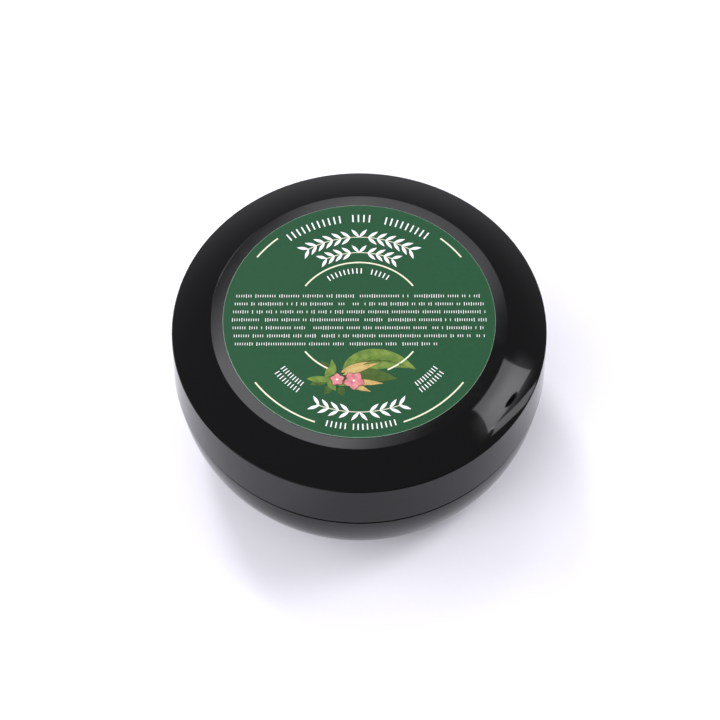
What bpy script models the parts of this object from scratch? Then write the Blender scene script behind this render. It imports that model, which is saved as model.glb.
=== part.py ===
"""Double-wall jar of shaving soap with a quick-thread screw lid.

Every size below is in millimetres; points are scaled to metres as they become meshes.
The origin is the centre of the foot, on the surface that the jar stands on, and +Z is the screw axis.
"""

import bpy
import bmesh
from math import atan2, cos, hypot, pi, radians, sin, sqrt, tan
from mathutils import Matrix, Vector

MM = 0.001

# Outside
RIM_RADIUS = 40.0        # upper outer edge of the lid
HEIGHT = 38.0            # foot to the top of the lid label
LID_HEIGHT = 16.05       # lower edge of the lid to the top of the label
SHOULDER_WIDTH = 8.4     # rim in to the flat plateau
SHOULDER_DROP = 3.13     # plateau down to the rim
SHOULDER_BULGE = radians(5.5)  # half of the turn that the shoulder's arc makes
SKIRT_DRAFT = 0.45       # how much wider the lid is at its lower edge
SEAM_GAP = 0.5           # open line between lid and base
PLATEAU_EDGE = 0.25      # radii of the outer edges
RIM_EDGE = 0.45
LOWER_EDGE = 0.3
BASE_STEP = 0.3          # how far the base sits inside the lid's lower edge
BASE_TUCK = 11.55        # how far the base draws in from the seam to its foot
FOOT_WIDTH = 2.4         # flat ring that the jar stands on
FOOT_DEPTH = 0.9         # recess inside that ring

# Walls and fits
WALL = 1.9               # outer shells
LIP_WALL = 1.85          # outer shells, where an inner flange sits in them
CUP_WALL = 1.4
LINER_WALL = 1.3
LINER_RECESS = 0.2       # liner's flange up from the lid's lower edge
LINER_SHOULDER = 2.1     # outer chamfer that follows the lid's shoulder
LINER_POCKET = 0.9       # inner chamfer that centres the foam wad
FLANGE = 1.3
LEDGE = 0.6              # step that a flange rests on
SNAP = 0.4               # height of a snap bead
SNAP_BAND = 0.8          # its width up the wall
COLLAR_WALL = 1.1
COLLAR_LENGTH = 4.0
COLLAR_GAP = 0.9         # lid collar in to the threaded wall of the liner
CLEARANCE = 0.3
BREAK = 0.2              # radius of a moulded inner edge
INNER_CORNER = 1.0       # chamfer in the lid's upper inner corner
SNAP_FROM_LEDGE = 1.5    # ledge to the middle of the shell's bead

# Cup, neck and thread
CUP_DRAFT = 0.5          # how much narrower the cup is at its floor
CUP_CORNER = 3.0
LEAD = 8.0               # rise of the lid in one turn
THREAD_STARTS = 2
THREAD_DEPTH = 1.2
THREAD_ROOT = 1.9        # width of a thread bead at the wall
THREAD_CREST = 1.0
THREAD_CLEARANCE = 0.4
THREAD_MARGIN = 1.7      # neck left plain below and above the thread
THREAD_ENTRY = 0.4       # chamfer at the liner's mouth, and plain wall above it

# What the jar holds
SOAP_CLEARANCE = 0.4
HEADSPACE = 7.1          # soap up to the mouth of the cup
SOAP_EDGE = 1.5
WAD_THICKNESS = 1.1
DISC_THICKNESS = 0.7
TAB_RADIUS = 7.0
TAB_THICKNESS = 0.6
TAB_LIFT = 0.5           # slot for a fingernail under the tab
TAB_HINGE_AT = 2.0       # off the disc's middle
TAB_HINGE_WIDTH = 1.2

# Labels
LABEL_MARGIN = 2.65      # plateau's edge in to the label
LABEL_THICKNESS = 0.15
GLUE_LINE = 0.1
BASE_LABEL_MARGIN = 3.6  # recess wall in to the base label

TURN_STEPS = 48          # sides of every turned piece
THREAD_SECTIONS = 48     # sections in one turn of a thread bead
FADE_SECTIONS = 3        # of these, how many each end takes to rise from the wall

def snap_fit(outer_radius):
    """Radii where a flanged piece snaps into a shell: its pocket, its wall, the flange and its collar."""
    pocket = outer_radius - LIP_WALL
    wall = pocket - LEDGE
    return pocket, wall, pocket - CLEARANCE, wall - SNAP - CLEARANCE


# Radii that follow
plateau_radius = RIM_RADIUS - SHOULDER_WIDTH
lid_radius = RIM_RADIUS + SKIRT_DRAFT
base_radius = lid_radius - BASE_STEP
foot_radius = base_radius - BASE_TUCK
ring_inner_radius = foot_radius - FOOT_WIDTH

# The neck is as wide as the liner, its thread and the lid leave room for
lid_pocket, lid_wall, lid_flange, lid_collar = snap_fit(lid_radius)
base_pocket, base_wall, base_flange, base_collar = snap_fit(base_radius)
liner_radius = lid_collar - COLLAR_WALL - COLLAR_GAP
liner_bore = liner_radius - LINER_WALL
neck_radius = liner_bore - THREAD_CLEARANCE - THREAD_DEPTH
mouth_radius = neck_radius - CUP_WALL
cup_floor_radius = mouth_radius - CUP_DRAFT

# Heights that follow
lid_bottom = HEIGHT - LID_HEIGHT
seam = lid_bottom - SEAM_GAP
plateau = HEIGHT - LABEL_THICKNESS - GLUE_LINE

# The shoulder is one shallow arc from the plateau's edge to the rim
shoulder_slope = atan2(SHOULDER_DROP, SHOULDER_WIDTH)
shoulder_start = shoulder_slope - SHOULDER_BULGE
shoulder_end = shoulder_slope + SHOULDER_BULGE
shoulder_arc = hypot(SHOULDER_DROP, SHOULDER_WIDTH) / 2 / sin(SHOULDER_BULGE)
shoulder_centre_r = plateau_radius - shoulder_arc * sin(shoulder_start)
shoulder_centre_z = plateau - shoulder_arc * cos(shoulder_start)


def lid_underside(radius):
    """Height of the lid shell's inner surface at this radius."""
    out = radius - shoulder_centre_r
    under_shoulder = shoulder_centre_z + sqrt((shoulder_arc - WALL) ** 2 - out ** 2)
    return min(plateau - WALL, under_shoulder)


# The stack inside: lid, liner, foam wad, neck, headspace, disc, soap, cup, base
liner_top = lid_underside(liner_radius - LINER_SHOULDER) - CLEARANCE
liner_ceiling = liner_top - LINER_WALL
wad_bottom = liner_ceiling - CLEARANCE - WAD_THICKNESS
mouth = wad_bottom - CLEARANCE
soap_top = mouth - HEADSPACE
cup_underside = FOOT_DEPTH + WALL + CLEARANCE
cup_floor = cup_underside + CUP_WALL
liner_bottom = lid_bottom + LINER_RECESS


def arc_steps(start, end, steps):
    """Evenly spaced values from start to end, both included."""
    return [start + (end - start) * i / steps for i in range(steps + 1)]


def fillet(before, corner, after, radius, steps=2):
    """Points of a round corner that is tangent to both of its sides."""
    corner = Vector(corner)
    back = (Vector(before) - corner).normalized()
    onward = (Vector(after) - corner).normalized()
    half = back.angle(onward) / 2
    centre = corner + (back + onward).normalized() * radius / sin(half)
    first = (corner + back * radius / tan(half) - centre).normalized()
    last = (corner + onward * radius / tan(half) - centre).normalized()
    return [tuple(centre + first.slerp(last, i / steps) * radius) for i in range(steps + 1)]


def outline(corners):
    """A profile from (radius, height) corners; a third number rounds that corner."""
    points = []
    for i, corner in enumerate(corners):
        if len(corner) == 2:
            points.append(corner)
        else:
            points += fillet(corners[i - 1][:2], corner[:2], corners[i + 1][:2], corner[2])
    return points


def tuck(outer, inner, high, low, steps):
    """A quarter ellipse from an upright wall at the top to a level floor at the bottom."""
    return [
        (inner + (outer - inner) * cos(a), high - (high - low) * sin(a))
        for a in arc_steps(0, pi / 2, steps)
    ]


def shoulder(depth, steps):
    """The lid's shoulder arc, from plateau to rim, or the same arc this deep under it."""
    return [
        (
            shoulder_centre_r + (shoulder_arc - depth) * sin(a),
            shoulder_centre_z + (shoulder_arc - depth) * cos(a),
        )
        for a in arc_steps(shoulder_start, shoulder_end, steps)
    ]


def snap_bead(wall, height, centre):
    """A bead on an upright wall, read upwards; a negative height stands inwards."""
    half = SNAP_BAND / 2
    return [
        (wall, centre - half),
        (wall + height, centre - half / 3),
        (wall + height, centre + half / 3),
        (wall, centre + half),
    ]


def fresh_scene():
    """Empties the scene and gives the collections for the parts and for their helpers."""
    for obj in list(bpy.data.objects):
        bpy.data.objects.remove(obj)
    collections = []
    for name in ("shaving_soap_jar", "helpers"):
        collection = bpy.data.collections.new(name)
        bpy.context.scene.collection.children.link(collection)
        collections.append(collection)
    return collections


def material(name, colour, roughness, alpha=1.0):
    made = bpy.data.materials.new(name)
    made.use_nodes = True
    shader = made.node_tree.nodes["Principled BSDF"]
    shader.inputs["Base Color"].default_value = (*colour, 1.0)
    shader.inputs["Roughness"].default_value = roughness
    shader.inputs["Metallic"].default_value = 0.0
    shader.inputs["Alpha"].default_value = alpha
    return made


def add_object(name, mesh, collection, parent=None):
    obj = bpy.data.objects.new(name, mesh)
    collection.objects.link(obj)
    obj.parent = parent
    return obj


def hide(obj):
    """Marks a helper that only shapes another piece."""
    obj.hide_render = True
    obj.display_type = "WIRE"
    return obj


def turned(name, profile, finish, parent):
    """A piece turned about the screw axis from a profile that runs from the axis back to the axis."""
    mesh = bpy.data.meshes.new(name)
    points = [(r * MM, 0, z * MM) for r, z in profile]
    mesh.from_pydata(points, [(i, i + 1) for i in range(len(points) - 1)], [])
    mesh.materials.append(finish)
    obj = add_object(name, mesh, parts, parent)
    screw = obj.modifiers.new("turn", "SCREW")
    screw.steps = screw.render_steps = TURN_STEPS
    screw.use_merge_vertices = True
    screw.merge_threshold = 0.00001
    return obj


def helper_mesh(name, build):
    """A hidden helper from a bmesh in millimetres."""
    bmesh.ops.scale(build, vec=(MM, MM, MM), verts=build.verts)
    mesh = bpy.data.meshes.new(name)
    build.to_mesh(mesh)
    build.free()
    return hide(add_object(name, mesh, helpers))


def thread_bead(name, wall, height, start_angle, low, rise):
    """A helical bead rooted in a wall, fading out at both ends; a negative height stands inwards."""
    sections = max(6, round(rise / LEAD * THREAD_SECTIONS))
    root = wall - height / 3
    build = bmesh.new()
    rings = []
    for i in range(sections + 1):
        angle = start_angle + rise * i / sections / LEAD * 2 * pi
        centre = low + rise * i / sections
        fade = min(1, i / FADE_SECTIONS, (sections - i) / FADE_SECTIONS)
        crest = wall + height * (1.25 * fade - 0.25)
        corners = [
            (root, -THREAD_ROOT / 2),
            (crest, -THREAD_CREST / 2),
            (crest, THREAD_CREST / 2),
            (root, THREAD_ROOT / 2),
        ]
        rings.append([
            build.verts.new((r * cos(angle), r * sin(angle), centre + z)) for r, z in corners
        ])
    for ring, following in zip(rings, rings[1:]):
        for i in range(4):
            j = (i + 1) % 4
            build.faces.new((ring[i], ring[j], following[j], following[i]))
    build.faces.new(rings[0])
    build.faces.new(reversed(rings[-1]))
    bmesh.ops.recalc_face_normals(build, faces=build.faces)
    return helper_mesh(name, build)


def unite(obj, other):
    join = obj.modifiers.new("join_" + other.name, "BOOLEAN")
    join.operation = "UNION"
    join.object = other


def add_threads(obj, wall, height, start_angle, low, high):
    """One bead for each start, evenly spaced round the wall."""
    for i in range(THREAD_STARTS):
        angle = start_angle + 2 * pi * i / THREAD_STARTS
        unite(obj, thread_bead(f"{obj.name}_thread_{i + 1}", wall, height, angle, low, high - low))


def settle(obj):
    """Turns the modifiers' result into the object's own mesh, smooth with crisp edges."""
    evaluated = obj.evaluated_get(bpy.context.evaluated_depsgraph_get())
    mesh = bpy.data.meshes.new_from_object(evaluated)
    obj.modifiers.clear()
    obj.data = mesh
    mesh.shade_smooth()
    mesh.set_sharp_from_angle(angle=radians(30))


def make_base_shell(finish, parent):
    ledge = seam - FLANGE - CLEARANCE
    floor = FOOT_DEPTH + WALL
    profile = outline([
        (0, floor),
        *reversed(tuck(base_wall, foot_radius - WALL, ledge - COLLAR_LENGTH, floor, 7)),
        *snap_bead(base_wall, -SNAP, ledge - SNAP_FROM_LEDGE),
        (base_wall, ledge),
        (base_pocket, ledge),
        (base_pocket, seam, BREAK),
        (base_radius, seam, LOWER_EDGE),
        *tuck(base_radius, foot_radius, seam, 0, 10)[1:],
        (ring_inner_radius, 0),
        (ring_inner_radius - BREAK, FOOT_DEPTH),
        (0, FOOT_DEPTH),
    ])
    return turned("base_shell", profile, finish, parent)


def make_inner_cup(finish, parent):
    underside = seam - FLANGE
    collar_low = underside - COLLAR_LENGTH
    shell_bead = underside - CLEARANCE - SNAP_FROM_LEDGE
    profile = outline([
        (0, cup_floor),
        (cup_floor_radius, cup_floor, CUP_CORNER),
        (mouth_radius, mouth, LOWER_EDGE),
        (neck_radius, mouth, LOWER_EDGE),
        (neck_radius, seam),
        (base_flange, seam, BREAK),
        (base_flange, underside),
        (base_collar, underside),
        *reversed(snap_bead(base_collar, SNAP, shell_bead - SNAP_BAND - CLEARANCE)),
        (base_collar, collar_low),
        (base_collar - COLLAR_WALL, collar_low),
        (base_collar - COLLAR_WALL, underside),
        (neck_radius, underside),
        (cup_floor_radius + CUP_WALL, cup_underside, CUP_CORNER + CUP_WALL),
        (0, cup_underside),
    ])
    cup = turned("inner_cup", profile, finish, parent)
    low = seam + THREAD_MARGIN + THREAD_ROOT / 2
    high = mouth - THREAD_MARGIN - THREAD_ROOT / 2
    add_threads(cup, neck_radius, THREAD_DEPTH, 0, low, high)
    return cup


def make_lid_shell(finish, parent):
    ledge = liner_bottom + FLANGE + CLEARANCE
    outside = shoulder(0, 5)
    inside = [point for point in shoulder(WALL, 5) if point[0] < lid_wall - INNER_CORNER]
    profile = outline([
        (0, plateau),
        (*outside[0], PLATEAU_EDGE),
        *outside[1:-1],
        (*outside[-1], RIM_EDGE),
        (lid_radius, lid_bottom, LOWER_EDGE),
        (lid_pocket, lid_bottom, BREAK),
        (lid_pocket, ledge),
        (lid_wall, ledge),
        *snap_bead(lid_wall, -SNAP, ledge + SNAP_FROM_LEDGE),
        (lid_wall, inside[-1][1] - INNER_CORNER),
        *reversed(inside),
        (0, plateau - WALL),
    ])
    return turned("lid_shell", profile, finish, parent)


def make_lid_liner(finish, parent):
    flange_top = liner_bottom + FLANGE
    collar_top = flange_top + COLLAR_LENGTH
    shell_bead = flange_top + CLEARANCE + SNAP_FROM_LEDGE
    profile = outline([
        (0, liner_top),
        (liner_radius - LINER_SHOULDER, liner_top),
        (liner_radius, liner_top - LINER_SHOULDER),
        (liner_radius, flange_top),
        (lid_collar - COLLAR_WALL, flange_top),
        (lid_collar - COLLAR_WALL, collar_top),
        (lid_collar, collar_top),
        *reversed(snap_bead(lid_collar, SNAP, shell_bead + SNAP_BAND + CLEARANCE)),
        (lid_collar, flange_top),
        (lid_flange, flange_top),
        (lid_flange, liner_bottom, BREAK),
        (liner_bore + THREAD_ENTRY, liner_bottom),
        (liner_bore, liner_bottom + THREAD_ENTRY),
        (liner_bore, liner_ceiling - LINER_POCKET),
        (liner_bore - LINER_POCKET, liner_ceiling),
        (0, liner_ceiling),
    ])
    liner = turned("lid_liner", profile, finish, parent)
    half_pitch = LEAD / THREAD_STARTS / 2
    neck_start = seam + THREAD_MARGIN + THREAD_ROOT / 2 - half_pitch
    low = max(neck_start, liner_bottom + 2 * THREAD_ENTRY + THREAD_ROOT / 2)
    high = mouth - THREAD_MARGIN - THREAD_ROOT / 2 - half_pitch
    add_threads(liner, liner_bore, -THREAD_DEPTH, 2 * pi * (low - neck_start) / LEAD, low, high)
    return liner


def make_soap_puck(finish, parent):
    radius = cup_floor_radius - SOAP_CLEARANCE
    profile = outline([
        (0, soap_top),
        (radius, soap_top, SOAP_EDGE),
        (radius, cup_floor + CLEARANCE, CUP_CORNER),
        (0, cup_floor + CLEARANCE),
    ])
    return turned("soap_puck", profile, finish, parent)


def make_sealing_disc(finish, parent):
    """A thin disc with a round lifting tab, hinged near the disc's middle and folded flat over it."""
    low = soap_top + CLEARANCE
    radius = cup_floor_radius - CLEARANCE / 2
    disc = make_flat_disc("sealing_disc", radius, low, DISC_THICKNESS, finish, parent)
    tab_low = low + DISC_THICKNESS + TAB_LIFT
    tab_middle = tab_low + TAB_THICKNESS / 2
    disc_middle = low + DISC_THICKNESS / 2
    hinge = bmesh.new()
    bmesh.ops.create_cube(
        hinge, size=1,
        matrix=Matrix.Translation((TAB_HINGE_AT, 0, (disc_middle + tab_middle) / 2))
        @ Matrix.Diagonal((TAB_HINGE_WIDTH, TAB_RADIUS, tab_middle - disc_middle, 1)),
    )
    unite(disc, helper_mesh("disc_tab_hinge", hinge))
    tab = bmesh.new()
    bmesh.ops.create_cone(
        tab, cap_ends=True, segments=TURN_STEPS // 2, depth=TAB_THICKNESS,
        radius1=TAB_RADIUS, radius2=TAB_RADIUS, matrix=Matrix.Translation((TAB_RADIUS, 0, tab_middle)),
    )
    unite(disc, helper_mesh("disc_tab", tab))
    return disc


def make_flat_disc(name, radius, low, thickness, finish, parent):
    high = low + thickness
    return turned(name, [(0, high), (radius, high), (radius, low), (0, low)], finish, parent)


def empty_on_axis(name, parent=None):
    """A parent on the screw axis, which is also every joint's axis."""
    return add_object(name, None, parts, parent)


parts, helpers = fresh_scene()

gloss_black = material("gloss_black_plastic", (0.012, 0.012, 0.013), 0.08)
cup_black = material("cup_black_plastic", (0.02, 0.02, 0.021), 0.3)
liner_black = material("liner_black_plastic", (0.02, 0.02, 0.021), 0.35)
label_green = material("label_green_film", (0.035, 0.13, 0.055), 0.5)
label_white = material("label_white_paper", (0.8, 0.8, 0.77), 0.6)
soap_ivory = material("soap_ivory", (0.82, 0.76, 0.62), 0.45)
foam_white = material("foam_white", (0.85, 0.85, 0.83), 0.8)
disc_clear = material("disc_clear_film", (0.85, 0.87, 0.87), 0.2, alpha=0.4)

jar = empty_on_axis("jar")
lift = empty_on_axis("lid_rise", jar)
lid = empty_on_axis("lid_turn", lift)
disc_lift = empty_on_axis("disc_lift", jar)

pieces = [
    make_base_shell(gloss_black, jar),
    make_inner_cup(cup_black, jar),
    make_soap_puck(soap_ivory, jar),
    make_flat_disc(
        "base_label", ring_inner_radius - BREAK - BASE_LABEL_MARGIN,
        FOOT_DEPTH - GLUE_LINE - LABEL_THICKNESS, LABEL_THICKNESS, label_white, jar,
    ),
    make_sealing_disc(disc_clear, disc_lift),
    make_flat_disc(
        "lid_wad", liner_bore - LINER_POCKET - CLEARANCE / 2,
        wad_bottom, WAD_THICKNESS, foam_white, lift,
    ),
    make_lid_liner(liner_black, lid),
    make_lid_shell(gloss_black, lid),
    make_flat_disc(
        "lid_label", plateau_radius - LABEL_MARGIN,
        plateau + GLUE_LINE, LABEL_THICKNESS, label_green, lid,
    ),
]
for piece in pieces:
    settle(piece)
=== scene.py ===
# %% [markdown]
# # A screw-top jar of shaving soap
# The jar is five mouldings, a cake of soap, a foam wad, a cover disc and two labels. The solid model
# already holds how they fit and move. This lesson gives each piece its finished surface: fine turned
# shells in place of the 48-sided ones, screw threads that run out into their walls, printed labels,
# and a material for everything. Every size is a named value in millimetres, or comes from the model.

import bmesh
import bpy
from math import atan2, cos, hypot, pi, radians, sin, tan
from mathutils import Euler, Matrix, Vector


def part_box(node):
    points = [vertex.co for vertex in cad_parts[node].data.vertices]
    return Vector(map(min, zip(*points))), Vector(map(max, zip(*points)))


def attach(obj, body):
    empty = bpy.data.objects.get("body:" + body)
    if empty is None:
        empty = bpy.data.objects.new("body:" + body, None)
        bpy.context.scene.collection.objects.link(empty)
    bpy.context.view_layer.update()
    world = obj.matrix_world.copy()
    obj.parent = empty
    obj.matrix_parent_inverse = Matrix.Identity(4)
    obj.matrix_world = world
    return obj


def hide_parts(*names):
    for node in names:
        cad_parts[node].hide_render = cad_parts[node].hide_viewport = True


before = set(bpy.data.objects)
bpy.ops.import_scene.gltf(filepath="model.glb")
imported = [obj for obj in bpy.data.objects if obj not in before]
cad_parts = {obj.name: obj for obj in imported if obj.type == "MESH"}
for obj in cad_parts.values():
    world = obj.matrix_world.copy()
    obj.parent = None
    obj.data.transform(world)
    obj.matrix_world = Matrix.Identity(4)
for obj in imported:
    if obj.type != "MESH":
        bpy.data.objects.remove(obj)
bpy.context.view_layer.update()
MM = 0.001


def span(node):
    """Radius, low and high of a CAD node, in millimetres."""
    low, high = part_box(node)
    return high.x / MM, low.z / MM, high.z / MM


lid_radius, lid_bottom, plateau = span("lid_shell")
base_radius, foot, seam = span("base_shell")
neck_flange, cup_underside, mouth = span("inner_cup")
liner_flange, liner_bottom, liner_top = span("lid_liner")
soap_radius, soap_bottom, soap_top = span("soap_puck")
disc_radius, disc_bottom, tab_top = span("sealing_disc")
wad_radius, wad_bottom, wad_top = span("lid_wad")
label_radius, _, label_top = span("lid_label")
paper_radius, paper_bottom, paper_top = span("base_label")
print(f"lid {2 * lid_radius:.1f} mm wide, {label_top:.1f} mm to the top of its label, seam at {seam:.1f}")

# %% [markdown]
# ## A node helper and a colour helper
# Every material and every Geometry Nodes tree below is built with the same small function: it adds
# one node, sets what is named and links what is given. A node given as a value stands for its first
# live output. Colours are written as the hex values that a paint program shows, and one function
# turns them into the linear numbers that Blender works in.


# %% Helpers for nodes and colours
def feed(tree, node, inputs):
    """Sets a node's sockets, by name or in order, each to a value or to another node's output."""
    for key, value in inputs.items() if isinstance(inputs, dict) else enumerate(inputs):
        if isinstance(value, bpy.types.Node):
            value = next(output for output in value.outputs if output.enabled)
        if isinstance(value, bpy.types.NodeSocket):
            tree.links.new(value, node.inputs[key])
        else:
            node.inputs[key].default_value = value


def add(tree, kind, inputs=(), **settings):
    """Adds a node with these settings and feeds its sockets."""
    made = tree.nodes.new(kind)
    for name, value in settings.items():
        setattr(made, name, value)
    feed(tree, made, inputs)
    return made


def srgb(code):
    """Linear colour of an sRGB hex code."""
    shares = [int(code[i : i + 2], 16) / 255 for i in (1, 3, 5)]
    return (*[s / 12.92 if s <= 0.04045 else ((s + 0.055) / 1.055) ** 2.4 for s in shares], 1.0)


def finish(name, **constants):
    """A material with these constants on its Principled shader; gives the material, tree and shader."""
    made = bpy.data.materials.new(name)
    made.use_nodes = True
    shader = made.node_tree.nodes["Principled BSDF"]
    for key, value in constants.items():
        shader.inputs[key.replace("_", " ")].default_value = value
    return made, made.node_tree, shader


def place(tree, scale=(1, 1, 1)):
    """Object coordinates in metres, stretched by this much."""
    where = add(tree, "ShaderNodeTexCoord")
    return add(tree, "ShaderNodeMapping", {"Vector": where.outputs["Object"], "Scale": scale})


def per(size_mm):
    """Texture scale at which a pattern repeats about every size_mm millimetres."""
    return 1 / (size_mm * MM)


def drift(tree, shader, share, first, second, worn, low, high, **reach):
    """Colour drifts between two hex codes by one pattern, roughness between two values by another."""
    colour = add(tree, "ShaderNodeMix", {0: share, 6: srgb(first), 7: srgb(second)}, data_type="RGBA")
    rough = add(tree, "ShaderNodeMapRange", {
        "Value": worn, "To Min": low, "To Max": high,
        **{key.replace("_", " "): value for key, value in reach.items()},
    })
    feed(tree, shader, {"Base Color": colour, "Roughness": rough})


# %% [markdown]
# ## Gloss black polystyrene
# The outer lid and base are injection moulded in a polished steel mould, so the plastic is nearly a
# black mirror. Three faults make it look real: a slow waviness where the wall cooled, fine rings left
# by the lathe that cut the mould, and a few specks of dust. The waviness and the rings only tilt the
# surface, and each speck is a dull grey dot. Real rings are about 0.1 mm apart, too fine to show, so
# they are drawn 0.9 mm apart.


# %% Polished black plastic
def polished_black():
    """Moulded polystyrene from a polished mould: a near mirror over deep black."""
    made, tree, shader = finish("polystyrene_black_polished", IOR=1.5, Specular_IOR_Level=0.14)
    here = place(tree)
    turned_rings = place(tree, (0.02, 0.02, 1))
    wave = add(tree, "ShaderNodeTexNoise", {"Vector": here, "Scale": per(14), "Detail": 1.0})
    rings = add(tree, "ShaderNodeTexNoise", {"Vector": turned_rings, "Scale": per(0.9), "Detail": 3.0})
    slow = add(tree, "ShaderNodeBump", {"Strength": 0.05, "Distance": 0.0004, "Height": wave})
    ringed = add(tree, "ShaderNodeBump", {
        "Strength": 0.08, "Distance": 0.00004, "Height": rings, "Normal": slow,
    })
    haze = add(tree, "ShaderNodeTexNoise", {"Vector": here, "Scale": per(3), "Detail": 6.0})
    rough = add(tree, "ShaderNodeMapRange", {
        "Value": haze, "From Min": 0.3, "From Max": 0.75, "To Min": 0.02, "To Max": 0.06,
    })
    specks = add(tree, "ShaderNodeTexVoronoi", {"Vector": here, "Scale": per(5)})
    speck = add(tree, "ShaderNodeMapRange", {
        "Value": specks, "From Min": 0.012, "From Max": 0.022, "To Min": 1.0, "To Max": 0.0,
    })
    colour = add(tree, "ShaderNodeMix", {
        0: speck, 6: srgb("#070708"), 7: srgb("#3c3c40"),
    }, data_type="RGBA")
    dusty = add(tree, "ShaderNodeMath", [rough, speck], operation="MAXIMUM")
    feed(tree, shader, {"Normal": ringed, "Base Color": colour, "Roughness": dusty})
    return made


gloss_black = polished_black()

# %% [markdown]
# ## Satin black polypropylene
# The cup and the liner are the working parts. They come from a mould that was spark-eroded rather than
# polished, which leaves an even fine grain: a soft sheen on the cup, a duller one on the liner. The
# real grain is about 0.05 mm, too fine to show, so it is drawn at 0.25 and 0.35 mm.


# %% Spark-eroded black plastic
def grained_black(name, code, low, high, grain_mm):
    """Moulded polypropylene from a grained mould: an even sheen with no clear reflection."""
    made, tree, shader = finish(name, IOR=1.49)
    here = place(tree)
    grain = add(tree, "ShaderNodeTexNoise", {"Vector": here, "Scale": per(grain_mm), "Detail": 4.0})
    patch = add(tree, "ShaderNodeTexNoise", {"Vector": here, "Scale": per(9), "Detail": 2.0})
    bump = add(tree, "ShaderNodeBump", {"Strength": 0.35, "Distance": 0.00005, "Height": grain})
    drift(tree, shader, patch, code, "#232325", patch, low, high, From_Min=0.3, From_Max=0.7)
    feed(tree, shader, {"Normal": bump})
    return made


cup_black = grained_black("polypropylene_black_satin", "#17171a", 0.26, 0.38, 0.25)
liner_black = grained_black("polypropylene_black_matt", "#1a1a1c", 0.38, 0.52, 0.35)

# %% [markdown]
# ## Soap, foam and clear film
# Hard soap lets light a few millimetres in, so its edges glow and its shadows are warm. The wad is
# closed-cell foam: a field of small rounded cells. The cover disc is stamped from clear film that
# handling has left slightly hazy. The soap's pores and the foam's cells are about 0.3 mm, and are
# drawn at 1.1 and 0.8 mm so that they show.


# %% Soap
def milled_soap():
    """Milled soap: cloudy ivory with fine pores, lit a little from within."""
    made, tree, shader = finish(
        "hard_soap_ivory", IOR=1.45, Subsurface_Weight=0.5, Subsurface_Radius=(1.0, 0.75, 0.5),
        Subsurface_Scale=0.003,
    )
    here = place(tree)
    marble = add(tree, "ShaderNodeTexNoise", {
        "Vector": here, "Scale": per(16), "Detail": 5.0, "Distortion": 1.6,
    })
    pores = add(tree, "ShaderNodeTexVoronoi", {"Vector": here, "Scale": per(1.1)})
    skin = add(tree, "ShaderNodeTexNoise", {"Vector": here, "Scale": per(0.6), "Detail": 4.0})
    pit = add(tree, "ShaderNodeMapRange", {"Value": pores, "From Min": 0.05, "From Max": 0.2})
    bump = add(tree, "ShaderNodeBump", {"Strength": 0.5, "Distance": 0.00008, "Height": pit})
    fine = add(tree, "ShaderNodeBump", {
        "Strength": 0.3, "Distance": 0.00005, "Height": skin, "Normal": bump,
    })
    drift(tree, shader, marble, "#f2ead2", "#e0d3b2", skin, 0.36, 0.52)
    feed(tree, shader, {"Normal": fine})
    return made


soap_ivory = milled_soap()


# %% Foam and film
def closed_cell_foam():
    """Die-cut polyethylene foam: dull white, with small rounded cells and painted shade darkening the
    grooves between them.
    """
    made, tree, shader = finish(
        "polyethylene_foam_white", IOR=1.45, Subsurface_Weight=0.25, Subsurface_Scale=0.001,
    )
    cells = add(tree, "ShaderNodeTexVoronoi", {"Vector": place(tree), "Scale": per(0.8)})
    wall = add(tree, "ShaderNodeMapRange", {"Value": cells, "From Min": 0.1, "From Max": 0.6})
    bump = add(tree, "ShaderNodeBump", {
        "Strength": 0.6, "Distance": 0.0002, "Height": wall,
    }, invert=True)
    # The same mask that sinks the grooves between the cells also paints them a darker grey: painted shade in
    # the grooves.
    drift(tree, shader, wall, "#f1f1ee", "#dcdcd8", wall, 0.55, 0.75)
    feed(tree, shader, {"Normal": bump})
    return made


def hazy_film():
    """Stamped polypropylene film: clear, with a drifting haze."""
    made, tree, shader = finish("polypropylene_film_clear", IOR=1.49, Transmission_Weight=0.85)
    haze = add(tree, "ShaderNodeTexNoise", {"Vector": place(tree), "Scale": per(6), "Detail": 5.0})
    drift(tree, shader, haze, "#f7fafa", "#e6ecec", haze, 0.14, 0.3, From_Min=0.3, From_Max=0.7)
    return made


foam_white = closed_cell_foam()
film_clear = hazy_film()

# %% [markdown]
# ## Labels and inks
# The lid's label is a film printed edge to edge in a deep green, with small cream marks over it. A
# laminate makes it satin. Its knife-cut edge shows the pale film under the ink. The base carries a
# plain paper label. The inks lie on top as their own thin pieces, so their outline stays crisp.


# %% Printed film, paper and inks
LABEL_EDGE = 0.07


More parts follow.
